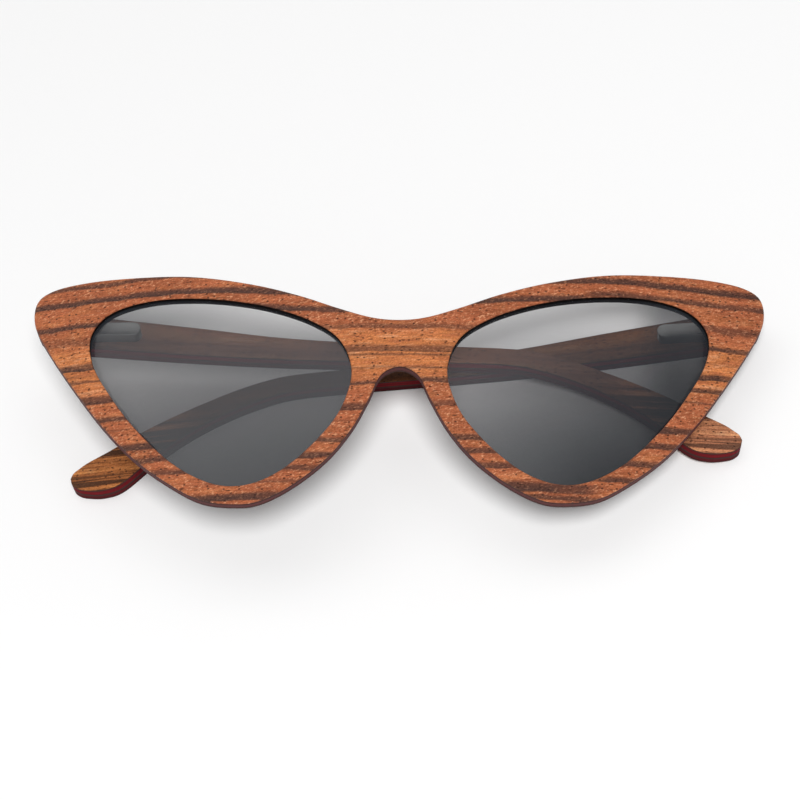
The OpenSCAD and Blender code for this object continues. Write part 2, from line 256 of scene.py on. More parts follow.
def sheet_piece(name, body, node, levels, shape, place, materials, spacing=0.0, round_steps=5):
    """A layer with levels (depth, loops) from its face to its back.

    The materials are those of the face, the outer wall, the hole walls and the back. The first round_steps
    levels are the rounded edge of the face and take its material.
    """
    bm = bmesh.new()

    def cover(level, material, flip):
        depth, loops = level
        points, faces = fill(loops, spacing)
        made = [bm.verts.new(shape(p.x, p.y, depth)) for p in points]
        for f in faces:
            face = bm.faces.new([made[i] for i in (reversed(f) if flip else f)])
            face.material_index = material

    cover(levels[0], 0, False)
    cover(levels[-1], 3, True)
    for j in range(len(levels[0][1])):
        rings = [[bm.verts.new(shape(p.x, p.y, depth)) for p in loops[j]] for depth, loops in levels]
        for k in range(len(rings) - 1):
            n = len(rings[k])
            on_face = k < round_steps - 1
            for i in range(n):
                quad = (rings[k][i], rings[k][(i + 1) % n], rings[k + 1][(i + 1) % n], rings[k + 1][i])
                bm.faces.new(quad).material_index = 0 if on_face else (1 if j == 0 else 2)
    bmesh.ops.remove_doubles(bm, verts=bm.verts, dist=WELD)
    loose = [v for v in bm.verts if not v.link_faces]
    bmesh.ops.delete(bm, geom=loose, context="VERTS")
    bm.transform(Matrix.Scale(MM, 4) @ place)
    bmesh.ops.recalc_face_normals(bm, faces=bm.faces)
    mesh = bpy.data.meshes.new(name)
    bm.to_mesh(mesh)
    bm.free()
    for m in materials:
        mesh.materials.append(m)
    mesh.shade_smooth()
    mesh.set_sharp_from_angle(angle=SMOOTH_ANGLE)
    return add_piece(name, mesh, body, node)


def softened(name, body, node, finish, width, segments=2, chosen=None):
    """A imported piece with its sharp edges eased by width."""
    bm = bmesh.new()
    bm.from_mesh(nodes[node].data)
    bmesh.ops.remove_doubles(bm, verts=bm.verts, dist=PACKED_WELD * MM)
    bmesh.ops.dissolve_limit(bm, angle_limit=FLAT_ANGLE, verts=bm.verts, edges=bm.edges)
    sharp = [e for e in bm.edges if e.is_manifold and e.calc_face_angle() > SHARP_ANGLE
             and (chosen is None or all(chosen(v.co / MM) for v in e.verts))]
    bmesh.ops.bevel(bm, geom=sharp, offset=width * MM, segments=segments, profile=0.5, affect="EDGES",
                    clamp_overlap=True)
    bmesh.ops.triangulate(bm, faces=[f for f in bm.faces if len(f.verts) > 4])
    mesh = bpy.data.meshes.new(name)
    bm.to_mesh(mesh)
    bm.free()
    mesh.materials.clear()
    mesh.materials.append(finish)
    for polygon in mesh.polygons:
        polygon.material_index = 0
    mesh.shade_smooth()
    mesh.set_sharp_from_angle(angle=EASED_ANGLE)
    return add_piece(name, mesh, body, node)


# Material helpers
def new_material(name):
    m = bpy.data.materials.new(name)
    m.use_nodes = True
    nt = m.node_tree
    return m, nt, nt.nodes["Principled BSDF"]


def add(nt, kind, **values):
    node = nt.nodes.new(kind)
    for key, value in values.items():
        setattr(node, key, value)
    return node


def put(nt, value, socket):
    if hasattr(value, "is_output"):
        nt.links.new(value, socket)
    else:
        socket.default_value = value


def math_node(nt, operation, a, b=0.0, c=0.0, clamp=False):
    node = add(nt, "ShaderNodeMath", operation=operation, use_clamp=clamp)
    for value, socket in zip((a, b, c), node.inputs):
        put(nt, value, socket)
    return node.outputs[0]


def remap(nt, value, low, high, to_low=0.0, to_high=1.0, smooth=False):
    node = add(nt, "ShaderNodeMapRange")
    if smooth:
        node.interpolation_type = "SMOOTHSTEP"
    settings = {"Value": value, "From Min": low, "From Max": high, "To Min": to_low, "To Max": to_high}
    for label, setting in settings.items():
        put(nt, setting, node.inputs[label])
    return node.outputs[0]


def blend_colour(nt, factor, a, b, mode="MIX"):
    node = add(nt, "ShaderNodeMix", data_type="RGBA", blend_type=mode)
    put(nt, factor, node.inputs["Factor"])
    put(nt, a, node.inputs[6])
    put(nt, b, node.inputs[7])
    return node.outputs[2]


def sized(nt, vector, size, turn=0.0, shift=(0, 0, 0)):
    """Coordinates in cells of the given size, turned about the depth."""
    node = add(nt, "ShaderNodeMapping", vector_type="TEXTURE")
    put(nt, vector, node.inputs["Vector"])
    node.inputs["Location"].default_value = shift
    node.inputs["Rotation"].default_value = (0, 0, turn)
    node.inputs["Scale"].default_value = size
    return node.outputs[0]


def noise(nt, vector, detail=2.0, roughness=0.5):
    node = add(nt, "ShaderNodeTexNoise")
    put(nt, vector, node.inputs["Vector"])
    node.inputs["Scale"].default_value = 1.0
    node.inputs["Detail"].default_value = detail
    node.inputs["Roughness"].default_value = roughness
    return node.outputs[0]


def scattered(nt, vector, core, rim, share):
    """Separate spots, one to a cell, in the given share of the cells."""
    node = add(nt, "ShaderNodeTexVoronoi", voronoi_dimensions="2D")
    put(nt, vector, node.inputs["Vector"])
    node.inputs["Scale"].default_value = 1.0
    spot = remap(nt, node.outputs["Distance"], core, rim, 1.0, 0.0, smooth=True)
    split = add(nt, "ShaderNodeSeparateColor")
    nt.links.new(node.outputs["Color"], split.inputs[0])
    kept = remap(nt, split.outputs[0], 1.0 - share, 1.0 - share + 0.25)
    return math_node(nt, "MULTIPLY", spot, kept)


def sorted_ramp(nt, value, stops):
    """Colour ramp from (place, colour) stops."""
    node = add(nt, "ShaderNodeValToRGB")
    put(nt, value, node.inputs[0])
    band = node.color_ramp.elements
    stops = sorted(stops)
    band[0].position, band[0].color = stops[0]
    band[1].position, band[1].color = stops[-1]
    for place, colour in stops[1:-1]:
        band.new(place).color = colour
    return node.outputs[0]


def local_space(nt, place):
    """Object coordinates turned into millimetres in a piece's own axes."""
    back = (Matrix.Scale(MM, 4) @ place).inverted()
    turn = back.to_3x3()
    scale = Vector((1 / MM, 1 / MM, 1 / MM))
    if turn.determinant() < 0:
        scale.x = -scale.x
    turn = turn @ Matrix.Diagonal((1 / scale.x, 1 / scale.y, 1 / scale.z))
    where = add(nt, "ShaderNodeTexCoord")
    node = add(nt, "ShaderNodeMapping")
    nt.links.new(where.outputs["Object"], node.inputs["Vector"])
    node.inputs["Location"].default_value = back.to_translation()
    node.inputs["Rotation"].default_value = turn.to_euler("XYZ")
    node.inputs["Scale"].default_value = scale
    return node.outputs[0]


def axes_of(nt, vector):
    split = add(nt, "ShaderNodeSeparateXYZ")
    nt.links.new(vector, split.inputs[0])
    return split.outputs


def new_group(name, inputs, outputs):
    g = bpy.data.node_groups.new(name, "ShaderNodeTree")
    for label, kind in inputs.items():
        g.interface.new_socket(label, in_out="INPUT", socket_type=kind)
    for label, kind in outputs.items():
        g.interface.new_socket(label, in_out="OUTPUT", socket_type=kind)
    return g, g.nodes.new("NodeGroupInput").outputs, g.nodes.new("NodeGroupOutput").inputs


def grey(v):
    return (v, v, v, 1)


def raised(nt, height, strength, depth, shader):
    """Relief of the given depth in millimetres."""
    relief = add(nt, "ShaderNodeBump")
    relief.inputs["Strength"].default_value = strength
    relief.inputs["Distance"].default_value = depth * MM
    nt.links.new(height, relief.inputs["Height"])
    nt.links.new(relief.outputs["Normal"], shader.inputs["Normal"])


# Open-grain veneer: fibres, slanted pale flecks and pores over a striped ground; the flecks are painted
# glints off the grain
VECTOR, COLOUR, VALUE = "NodeSocketVector", "NodeSocketColor", "NodeSocketFloat"
VENEER_INPUTS = {"Grain": VECTOR, "Stripe": VALUE, "Gold": VALUE, "Ground": COLOUR, "Warm": COLOUR,
                 "Stripe Colour": COLOUR, "Pale And Glint Colour": COLOUR, "Glint Strength": VALUE}
VENEER_OUTPUTS = {"Colour": COLOUR, "Roughness": VALUE, "Height": VALUE}
NOISE_RANGE = (0.3, 0.7)
PORE_TONE = (0.032, 0.012, 0.008, 1)
PORE_STRENGTH = 0.8
GRAIN_DEPTH = 0.2
SANDING_DEPTH = 0.1


def veneer_group():
    g, i, o = new_group("open_grain", VENEER_INPUTS, VENEER_OUTPUTS)
    grain = i["Grain"]
    fibre = noise(g, sized(g, grain, (4.5, 0.22, 2)), 4.0, 0.6)
    broad = noise(g, sized(g, grain, (14, 3, 8), 0.03), 2.0, 0.5)
    dashes = noise(g, sized(g, grain, (0.85, 0.34, 1), 0.3), 3.0, 0.6)
    fine = noise(g, sized(g, grain, (0.4, 0.24, 0.4), 0.3), 2.0, 0.6)
    dot = scattered(g, sized(g, grain, (1.5, 1.1, 1), 0.1, (3.1, 1.7, 0)), core=0.1, rim=0.2, share=0.5)
    slit = scattered(g, sized(g, grain, (3.0, 0.75, 1), 0.06, (1.3, 5.2, 0)), core=0.1, rim=0.2, share=0.35)
    pore = math_node(g, "MAXIMUM", dot, slit)
    # Slanted pale flecks: painted glints off the grain, dimmed on the stripes and in the gold
    painted_glint = math_node(g, "MULTIPLY", remap(g, dashes, 0.53, 0.65, smooth=True), remap(g, fine, 0.35, 0.6))
    dim = remap(g, dashes, 0.45, 0.3, smooth=True)
    patch = noise(g, sized(g, grain, (7, 1.0, 4), 0.05, (2, 7, 0)), 3.0, 0.6)
    warmth = math_node(g, "MULTIPLY", i["Gold"], remap(g, patch, 0.36, 0.52, 0.4, 1.0, smooth=True))
    ground = blend_colour(g, warmth, i["Ground"], i["Warm"])
    pale = math_node(g, "MULTIPLY", i["Gold"], remap(g, patch, 0.52, 0.68, 0.0, 0.6, smooth=True))
    ground = blend_colour(g, pale, ground, i["Pale And Glint Colour"])
    tone = math_node(g, "MULTIPLY_ADD", dim, -0.42, 1.0)
    for streak, least, most in ((fibre, 0.72, 1.27), (broad, 0.85, 1.13), (fine, 0.68, 1.24)):
        tone = math_node(g, "MULTIPLY", tone, remap(g, streak, *NOISE_RANGE, least, most))
    ground = blend_colour(g, 1.0, ground, tone, "MULTIPLY")
    worn = math_node(g, "MULTIPLY", i["Stripe"], remap(g, fibre, 0.25, 0.5, 0.88, 1.0), clamp=True)
    dark = blend_colour(g, 1.0, i["Stripe Colour"], remap(g, fine, *NOISE_RANGE, 0.6, 1.5), "MULTIPLY")
    shade = blend_colour(g, worn, ground, dark)
    calm = math_node(g, "MULTIPLY_ADD", math_node(g, "MAXIMUM", i["Stripe"], i["Gold"]), -0.8, 1.0)
    # Painted glints: the flecks blended toward the pale colour
    lit = math_node(g, "MULTIPLY", math_node(g, "MULTIPLY", painted_glint, calm), i["Glint Strength"])
    shade = blend_colour(g, lit, shade, i["Pale And Glint Colour"])
    shade = blend_colour(g, math_node(g, "MULTIPLY", pore, PORE_STRENGTH), shade, PORE_TONE)
    put(g, shade, o["Colour"])
    put(g, math_node(g, "MULTIPLY_ADD", fibre, 0.24, 0.44), o["Roughness"])
    high = math_node(g, "MULTIPLY_ADD", dashes, 0.8, math_node(g, "MULTIPLY", fibre, 0.4))
    put(g, math_node(g, "SUBTRACT", high, pore), o["Height"])
    return g


open_grain = veneer_group()

# Dark stripes of each part of the front, from the lower rim up: height, thickness, strength
STRIPES = {
    "right_outer": [
        (-19.0, 1.2, 1.0), (-13.2, 0.9, 0.9), (-10.3, 1.0, 0.9), (-7.3, 1.2, 1.0), (-3.4, 0.3, 0.5),
        (-0.9, 0.9, 0.9), (3.7, 1.5, 0.9), (7.8, 0.4, 0.9), (9.0, 0.3, 0.5), (10.9, 1.1, 1.0),
        (15.8, 0.45, 0.6), (17.5, 0.9, 1.0), (22.9, 1.1, 1.0), (26.3, 0.75, 0.9)],
    "right_inner": [
        (-19.2, 1.2, 1.0), (-16.1, 0.4, 0.8), (-13.6, 0.9, 0.9), (-11.1, 1.1, 1.0), (-7.9, 0.9, 0.9),
        (-4.0, 0.3, 0.4), (-1.3, 1.2, 0.85), (3.6, 0.6, 0.9), (6.9, 0.35, 0.6), (9.7, 0.35, 0.95),
        (10.9, 1.3, 0.75), (15.8, 0.8, 0.65), (19.5, 1.0, 1.0), (22.9, 1.2, 1.0)],
    "left_inner": [
        (-21.6, 0.5, 0.6), (-19.5, 0.9, 0.9), (-17.6, 1.6, 1.0), (-13.4, 1.1, 0.9), (-10.3, 1.1, 0.9),
        (-7.5, 1.2, 0.9), (-0.6, 1.0, 0.7), (4.2, 1.0, 0.9), (6.9, 0.35, 0.9), (9.7, 0.35, 0.95),
        (10.9, 1.3, 0.75), (15.8, 0.8, 0.65), (21.0, 1.0, 1.0), (24.7, 1.1, 1.0)],
    "left_outer": [
        (-19.5, 0.8, 0.6), (-15.2, 1.0, 0.9), (-11.7, 1.1, 0.9), (-7.7, 1.2, 1.0), (-4.1, 1.2, 1.0),
        (2.3, 0.35, 0.8), (5.1, 0.9, 0.9), (8.0, 1.0, 1.0), (11.2, 0.3, 0.5), (14.7, 0.8, 1.0),
        (17.0, 0.6, 0.8), (22.0, 0.9, 0.9), (24.8, 1.1, 1.0)]}
STRIPE_LOW = -24.0
STRIPE_HIGH = 32.0
RAMP_STRIPES = 7
STRIPE_SPREAD = 0.6
LOWER_FADE = (0.12, 0.1)
UPPER_FADE = (0.25, 0.3)
UPPER_STRENGTH = 0.85
BROW_LIFT = 2.5
LIFT_REACH = (12.0, 45.0)
LIFT_HEIGHT = (15.0, 20.0)
OUTER_REACH = (35.0, 41.0)
BRIDGE_BLEND = (-5.0, 5.0)
GOLD_FOOT = (2.0, 7.0)
GOLD_TOP = (17.0, 13.0)
# Band from the tip toward the hinge over which the temple wood goes over to its painted shade under the front
TIP_BLEND = (-120.0, -108.0)


def stripe_mask(nt, height, stripes):
    """Strength of the dark stripes at a height: sharp lower edges and softer upper ones."""
    span = STRIPE_HIGH - STRIPE_LOW
    share = remap(nt, height, STRIPE_LOW, STRIPE_HIGH)
    mask = 0.0
    for first in range(0, len(stripes), RAMP_STRIPES):
        stops = [(0.0, grey(0)), (1.0, grey(0))]
        for y, thick, strength in stripes[first:first + RAMP_STRIPES]:
            low, high = y - STRIPE_SPREAD * thick, y + STRIPE_SPREAD * thick
            edge = [(low - LOWER_FADE[0], 0), (low + LOWER_FADE[1], strength),
                    (high - UPPER_FADE[0], UPPER_STRENGTH * strength), (high + UPPER_FADE[1], 0)]
            stops += [((at - STRIPE_LOW) / span, grey(v)) for at, v in edge]
        mask = math_node(nt, "MAXIMUM", sorted_ramp(nt, share, stops), mask)
    return mask


def front_stripes(nt, grain):
    """Dark stripes over the front, and the golden band through the bridge and the flanks."""
    x, y, _ = axes_of(nt, grain)
    reach = math_node(nt, "ABSOLUTE", x)
    slow = noise(nt, sized(nt, grain, (30, 16, 40)), 1.0)
    quick = noise(nt, sized(nt, grain, (5, 2.5, 6)), 2.0)
    lift = math_node(nt, "MULTIPLY", remap(nt, reach, *LIFT_REACH, 0.0, BROW_LIFT),
                     remap(nt, y, *LIFT_HEIGHT, smooth=True))
    height = math_node(nt, "SUBTRACT", y, lift)
    for wander, width in ((slow, 1.4), (quick, 0.9)):
        height = math_node(nt, "MULTIPLY_ADD", math_node(nt, "SUBTRACT", wander, 0.5), width, height)
    outer = remap(nt, reach, *OUTER_REACH, smooth=True)
    halves = [blend_colour(nt, outer, stripe_mask(nt, height, STRIPES[side + "_inner"]),
                           stripe_mask(nt, height, STRIPES[side + "_outer"])) for side in ("right", "left")]
    mask = blend_colour(nt, remap(nt, x, *BRIDGE_BLEND, smooth=True), *halves)
    patch = noise(nt, sized(nt, grain, (8, 2.2, 9), 0.05, (4, 2, 0)), 2.0)
    mask = math_node(nt, "MULTIPLY", mask, remap(nt, patch, 0.3, 0.48, 0.82, 1.0))
    gold = math_node(nt, "MULTIPLY", remap(nt, height, *GOLD_FOOT, smooth=True),
                     remap(nt, height, *GOLD_TOP, smooth=True))
    gold = math_node(nt, "MULTIPLY_ADD", gold, 0.8, remap(nt, patch, 0.5, 0.75, 0.0, 0.45))
    return mask, math_node(nt, "MINIMUM", gold, 1.0)


def banded(nt, grain):
    """Straight dark bands of the temple veneer. Away from the tip, where the temple lies under the front, the
    bands are pushed darker and more even and the gold is halved: painted shade.
    """
    band = noise(nt, sized(nt, grain, (70, 1.5, 8), 0.07, (3, 5, 0)), 3.0, 0.6)
    thin = noise(nt, sized(nt, grain, (24, 0.5, 8), 0.07, (9, 1, 0)), 2.0, 0.5)
    mask = math_node(nt, "MAXIMUM", remap(nt, band, 0.48, 0.58, 0.0, 0.9, smooth=True),
                     remap(nt, thin, 0.6, 0.7, 0.0, 0.6, smooth=True))
    under_front_shade = remap(nt, axes_of(nt, grain)[0], *TIP_BLEND, smooth=True)
    mask = blend_colour(nt, under_front_shade, mask, remap(nt, mask, 0.0, 1.0, 0.68, 0.82))
    gold = remap(nt, band, 0.5, 0.36, 0.0, remap(nt, under_front_shade, 0.0, 1.0, 1.0, 0.5), smooth=True)
    return mask, gold


def veneer(name, place, pattern, tones, painted_glint, bump):
    """Open-grain wood with a pattern of stripes, in four tones, the last of which also colours the painted
    glints.
    """
    m, nt, shader = new_material(name)
    grain = local_space(nt, place)
    mask, gold = pattern(nt, grain)
    use = add(nt, "ShaderNodeGroup", node_tree=open_grain)
    for label, value in zip(VENEER_INPUTS, (grain, mask, gold, *tones, painted_glint)):
        put(nt, value, use.inputs[label])
    nt.links.new(use.outputs["Colour"], shader.inputs["Base Color"])
    nt.links.new(use.outputs["Roughness"], shader.inputs["Roughness"])
    raised(nt, use.outputs["Height"], bump, GRAIN_DEPTH, shader)
    shader.inputs["Specular IOR Level"].default_value = 0.2
    return m


def sanded_edge(name, place, tones, size, gloss=0.1):
    """Cut edge of a layer: fine lines along the layer, with end-grain specks."""
    m, nt, shader = new_material(name)
    grain = local_space(nt, place)
    dark, light = tones
    line = noise(nt, sized(nt, grain, size), 3.0, 0.6)
    speck = noise(nt, sized(nt, grain, (0.33, 0.33, 0.33)), 2.0, 0.6)
    tone = blend_colour(nt, remap(nt, line, 0.35, 0.65, smooth=True), dark, light)
    tone = blend_colour(nt, remap(nt, speck, 0.35, 0.75, 0.0, 0.45), tone, dark)
    nt.links.new(tone, shader.inputs["Base Color"])
    nt.links.new(remap(nt, line, *NOISE_RANGE, 0.5, 0.7), shader.inputs["Roughness"])
    raised(nt, line, 0.15, SANDING_DEPTH, shader)
    shader.inputs["Specular IOR Level"].default_value = gloss
    return m


def layered_edge(name, place, stops):
    """Cut edge of the bent front: a colour for each depth below the face."""
    m, nt, shader = new_material(name)
    grain = local_space(nt, place)
    x, _, z = axes_of(nt, grain)
    rise = math_node(nt, "ADD", z, FRONT_RADIUS)
    square = math_node(nt, "MULTIPLY_ADD", x, x, math_node(nt, "MULTIPLY", rise, rise))
    depth = math_node(nt, "SUBTRACT", FRONT_RADIUS, math_node(nt, "SQRT", square))
    tone = sorted_ramp(nt, math_node(nt, "DIVIDE", depth, FRONT_T), [(d / FRONT_T, c) for d, c in stops])
    speck = noise(nt, sized(nt, grain, (1.1, 0.5, 0.5)), 3.0, 0.6)
    tone = blend_colour(nt, 1.0, tone, remap(nt, speck, *NOISE_RANGE, 0.65, 1.35), "MULTIPLY")
    nt.links.new(tone, shader.inputs["Base Color"])
    nt.links.new(remap(nt, speck, *NOISE_RANGE, 0.45, 0.65), shader.inputs["Roughness"])
    shader.inputs["Specular IOR Level"].default_value = 0.04
    return m


def satin_metal(name, place, tones, rough):
    """Metal with fine brush lines and a clouded tone."""
    m, nt, shader = new_material(name)
    grain = local_space(nt, place)
    brush = noise(nt, sized(nt, grain, (2.5, 0.11, 0.11)), 3.0, 0.6)
    cloud = noise(nt, sized(nt, grain, (2, 2, 2)), 2.0, 0.5)
    clouded = blend_colour(nt, remap(nt, cloud, 0.35, 0.7, 0.0, 0.6), *tones)
    nt.links.new(clouded, shader.inputs["Base Color"])
    nt.links.new(remap(nt, brush, *NOISE_RANGE, rough - 0.08, rough + 0.1), shader.inputs["Roughness"])
    shader.inputs["Metallic"].default_value = 1.0
    return m


# Lens cover (alpha) and colour from brow to foot: the cover deepens as a gradient tint and as painted shade;
# the paler colour toward the brow is a painted reflection
LENS_FOOT = -17.0
LENS_SLOPE_BAND = (20.0, 9.0)
LENS_FAR_BAND = (46.0, 56.0)
LENS_COVER = [(0.0, grey(0.11)), (0.25, grey(0.345)), (1.0, grey(0.72))]
LENS_TINT_AND_PAINTED_SHEEN = [(0.0, (0.060, 0.067, 0.078, 1)), (0.3, (0.046, 0.053, 0.063, 1)),
             (0.55, (0.033, 0.038, 0.046, 1)), (1.0, (0.019, 0.023, 0.028, 1))]


def lens_with_painted_light(name, place, brow, middle, brow_slope, slope, far):
    """Grey lens that darkens from the height of the brow down, as a gradient tint that is partly painted
    shade of the floor seen through it; painted shade also leans it darker along the lens and at its far end,
    and a painted reflection pales its colour toward the brow.
    """
    m, nt, shader = new_material(name)
    where = local_space(nt, place)
    x, y, _ = axes_of(nt, where)
    # Painted shade: darker along the lens and toward its far end
    lean = math_node(nt, "MULTIPLY", math_node(nt, "SUBTRACT", x, middle),
                     remap(nt, y, *LENS_SLOPE_BAND, brow_slope, slope))
    lean = math_node(nt, "ADD", lean, remap(nt, x, *LENS_FAR_BAND, 0.0, far, smooth=True))
    low = math_node(nt, "ADD", remap(nt, y, brow, LENS_FOOT), lean, clamp=True)
    faint = noise(nt, sized(nt, where, (12, 12, 12)), 1.0, 0.5)
    nt.links.new(sorted_ramp(nt, low, LENS_COVER), shader.inputs["Alpha"])
    # Colour paler toward the brow: painted reflection over the grey tint
    tint_and_sheen = sorted_ramp(nt, low, LENS_TINT_AND_PAINTED_SHEEN)
    tint_and_sheen = blend_colour(nt, 1.0, tint_and_sheen, remap(nt, faint, 0.2, 0.8, 0.9, 1.1), "MULTIPLY")
    nt.links.new(tint_and_sheen, shader.inputs["Base Color"])
    shader.inputs["Roughness"].default_value = 0.04
    shader.inputs["IOR"].default_value = 1.5
    shader.inputs["Specular IOR Level"].default_value = 0.75
    return m


# Wood tones: ground, warm ground, stripes, and pale patches that also colour the painted glints
FACE_TONES = ((0.38, 0.111, 0.048, 1), (0.59, 0.202, 0.067, 1), (0.053, 0.027, 0.022, 1),
              (0.76, 0.37, 0.20, 1))
TEMPLE_TONES = {
    "left": ((0.36, 0.12, 0.038, 1), (0.64, 0.25, 0.075, 1), (0.032, 0.014, 0.008, 1), (0.58, 0.33, 0.16, 1)),
    "right": ((0.52, 0.20, 0.10, 1), (0.78, 0.37, 0.17, 1), (0.08, 0.037, 0.024, 1), (0.74, 0.47, 0.30, 1))}

# Edge tones: dark and light lines
OPENING_TONES = ((0.003, 0.002, 0.0018, 1), (0.008, 0.005, 0.0045, 1))
BLOCK_TONES = ((0.06, 0.026, 0.02, 1), (0.13, 0.06, 0.04, 1))
CRIMSON_TONES = ((0.10, 0.006, 0.009, 1), (0.20, 0.013, 0.018, 1))
# The outer red layer is the same red as the inner one, painted darker as shade
SHADED_CRIMSON_TONES = ((0.055, 0.008, 0.010, 1), (0.11, 0.015, 0.018, 1))
DARK_TONES = ((0.03, 0.014, 0.012, 1), (0.07, 0.03, 0.025, 1))
EDGE_DARK = (0.055, 0.018, 0.015, 1)
EDGE_MAUVE = (0.105, 0.033, 0.033, 1)
EDGE_LAYERS = [(0.0, EDGE_DARK), (0.95, EDGE_DARK), (1.1, EDGE_MAUVE), (2.2, EDGE_MAUVE), (2.4, EDGE_DARK),
               (FRONT_T, EDGE_DARK)]
THIN_LINES = (20, 20, 0.45)
BLOCK_LINES = (12, 0.8, 0.8)
MATT = 0.03

# Metal tones: bright and clouded
HINGE_STEEL = ((0.25, 0.246, 0.238, 1), (0.19, 0.186, 0.178, 1))
TURNED_STEEL = ((0.62, 0.61, 0.58, 1), (0.5, 0.49, 0.47, 1))
WIRE_STEEL = ((0.55, 0.55, 0.55, 1), (0.4, 0.4, 0.4, 1))
BRASS = ((0.72, 0.52, 0.2, 1), (0.55, 0.38, 0.14, 1))

face_wood = veneer("face_wood", lay, front_stripes, FACE_TONES, painted_glint=0.8, bump=0.45)
# The rear veneer lies wholly past that band, so all of it takes the painted shade
back_wood = veneer("back_wood", lay, banded, FACE_TONES, painted_glint=0.3, bump=0.3)
front_edge = layered_edge("front_edge", lay, EDGE_LAYERS)
opening_edge = sanded_edge("opening_edge", lay, OPENING_TONES, THIN_LINES, gloss=MATT)
block_wood = sanded_edge("block_wood", lay, BLOCK_TONES, BLOCK_LINES)
# The two lenses take different painted shade: their own brow heights and leans and, on the left lens, a
# darker far end
lens_grey = {
    "left": lens_with_painted_light("left_lens_grey", lay, brow=20.5, middle=32.0, brow_slope=0.0, slope=0.009, far=0.3),
    "right": lens_with_painted_light("right_lens_grey", lay, brow=24.5, middle=-36.0, brow_slope=-0.009, slope=0.004,
                         far=0.0)}
temple_finish = {}
hinge_steel = {}
for side, place in places.items():
    wood = veneer(side + "_temple_wood", place, banded, TEMPLE_TONES[side], painted_glint=0.2, bump=0.3)
    crimson = sanded_edge(side + "_crimson_edge", place, CRIMSON_TONES, THIN_LINES, gloss=MATT)
    shaded_crimson = sanded_edge(side + "_shaded_crimson_edge", place, SHADED_CRIMSON_TONES, THIN_LINES, gloss=MATT)
    dark = sanded_edge(side + "_dark_edge", place, DARK_TONES, THIN_LINES)
    temple_finish[side] = (wood, crimson, shaded_crimson, dark)
    hinge_steel[side] = satin_metal(side + "_hinge_steel", place, HINGE_STEEL, rough=0.42)
turned = satin_metal("turned_steel", lay, TURNED_STEEL, rough=0.28)
wire_steel = satin_metal("spring_wire", lay, WIRE_STEEL, rough=0.3)
brass = satin_metal("turned_brass", lay, BRASS, rough=0.3)


# Front layers and lenses
def front_levels(outer, holes):
    """Loops of the front at each depth: (depth, inset) of the rim and (depth, growth) of the openings."""
    made = []
    for (depth, inset), (_, growth) in zip(outer, holes):
        made.append((depth, [grown(outer_line, -inset)] + [grown(h, growth) for h in left_right_lens]))
    return made


face_rim = rounded((0.0, FACE_VENEER_T), FACE_ROUND)
face_rim.append((FACE_VENEER_T, 0.0))
face_hole = [(d, HOLE_ROUND * inset / FACE_ROUND) for d, inset in face_rim]
back_rim = rounded((CORE_END, FRONT_T), 0.0, BACK_ROUND)
back_hole = [(d, HOLE_ROUND * inset / BACK_ROUND) for d, inset in back_rim]
core_hole = [(FACE_VENEER_T, 0), (GROOVE_TOP, 0), (GROOVE_TOP, GROOVE_GROWTH), (GROOVE_END, GROOVE_GROWTH),
             (GROOVE_END, 0), (CORE_END, 0)]
core_rim = [(d, 0) for d, _ in core_hole]
sheet_piece("face_veneer", "front", "front_face_veneer", front_levels(face_rim, face_hole),
            bent, lay, [face_wood, front_edge, opening_edge, front_edge], spacing=1.5)
sheet_piece("middle_layer", "front", "front_core", front_levels(core_rim, core_hole),
            bent, lay, [front_edge, front_edge, opening_edge, front_edge], spacing=3.0, round_steps=1)
sheet_piece("rear_veneer", "front", "front_back_veneer", front_levels(back_rim, back_hole),
            bent, lay, [back_wood, front_edge, opening_edge, back_wood], spacing=1.5, round_steps=1)
lens_rim = [(LENS_TOP, LENS_CHAMFER), (LENS_TOP + LENS_CHAMFER, 0), (LENS_END - LENS_CHAMFER, 0),
            (LENS_END, LENS_CHAMFER)]
for side, hole in zip(("left", "right"), left_right_lens):
    loops = [(d, [grown(hole, LENS_GROWTH - inset)]) for d, inset in lens_rim]
    sheet_piece(side + "_lens_with_painted_light", "front", side + "_lens", loops, bent, lay,
                [lens_grey[side]] * 4, spacing=2.0)

# Temple layers
pocket = round_end_box(POCKET_FIT)
for side, place in places.items():
    wood, crimson, shaded_crimson, dark = temple_finish[side]
    # The outer red layer takes the painted-shade copy of the crimson edge
    looks = [("inner_veneer", "inner_wood", [wood, dark, dark, dark]),
             ("inner_red", "red_layer", [crimson] * 4), ("core", "dark_layer", [dark] * 4),
             ("outer_red", "red_layer", [shaded_crimson] * 4), ("outer_veneer", "face_wood", [dark, dark, dark, wood])]
    for k, (part, slot, materials) in enumerate(looks):
        innermost = k == 0
        outermost = k == len(looks) - 1
        rim = rounded(TEMPLE_LAYERS[k:k + 2], TEMPLE_ROUND if innermost else 0.0,
                      TEMPLE_ROUND if outermost else 0.0)
        loops = [(d, [grown(temple_line, -inset)] + ([pocket] if innermost else [])) for d, inset in rim]
        sheet_piece(side + "_" + part + "_sheet", side + "_temple", side + "_temple_" + part, loops,
                    flat(-STANDOFF), place, materials, round_steps=3 if innermost else 1)


# Screws and springs, made by geometry nodes
def new_tree(name, sizes):
    tree = bpy.data.node_groups.new(name, "GeometryNodeTree")
    for label in sizes:
        tree.interface.new_socket(label, in_out="INPUT", socket_type="NodeSocketFloat")
    tree.interface.new_socket("Finish", in_out="INPUT", socket_type="NodeSocketMaterial")
    tree.interface.new_socket("Geometry", in_out="OUTPUT", socket_type="NodeSocketGeometry")
    return tree, tree.nodes.new("NodeGroupInput").outputs


def wire_up(tree, kind, **inputs):
    """A node whose named inputs are set or linked, with spaces written as underscores."""
    node = tree.nodes.new(kind)
    for label, value in inputs.items():
        put(tree, value, node.inputs[label.replace("_", " ")])
    return node


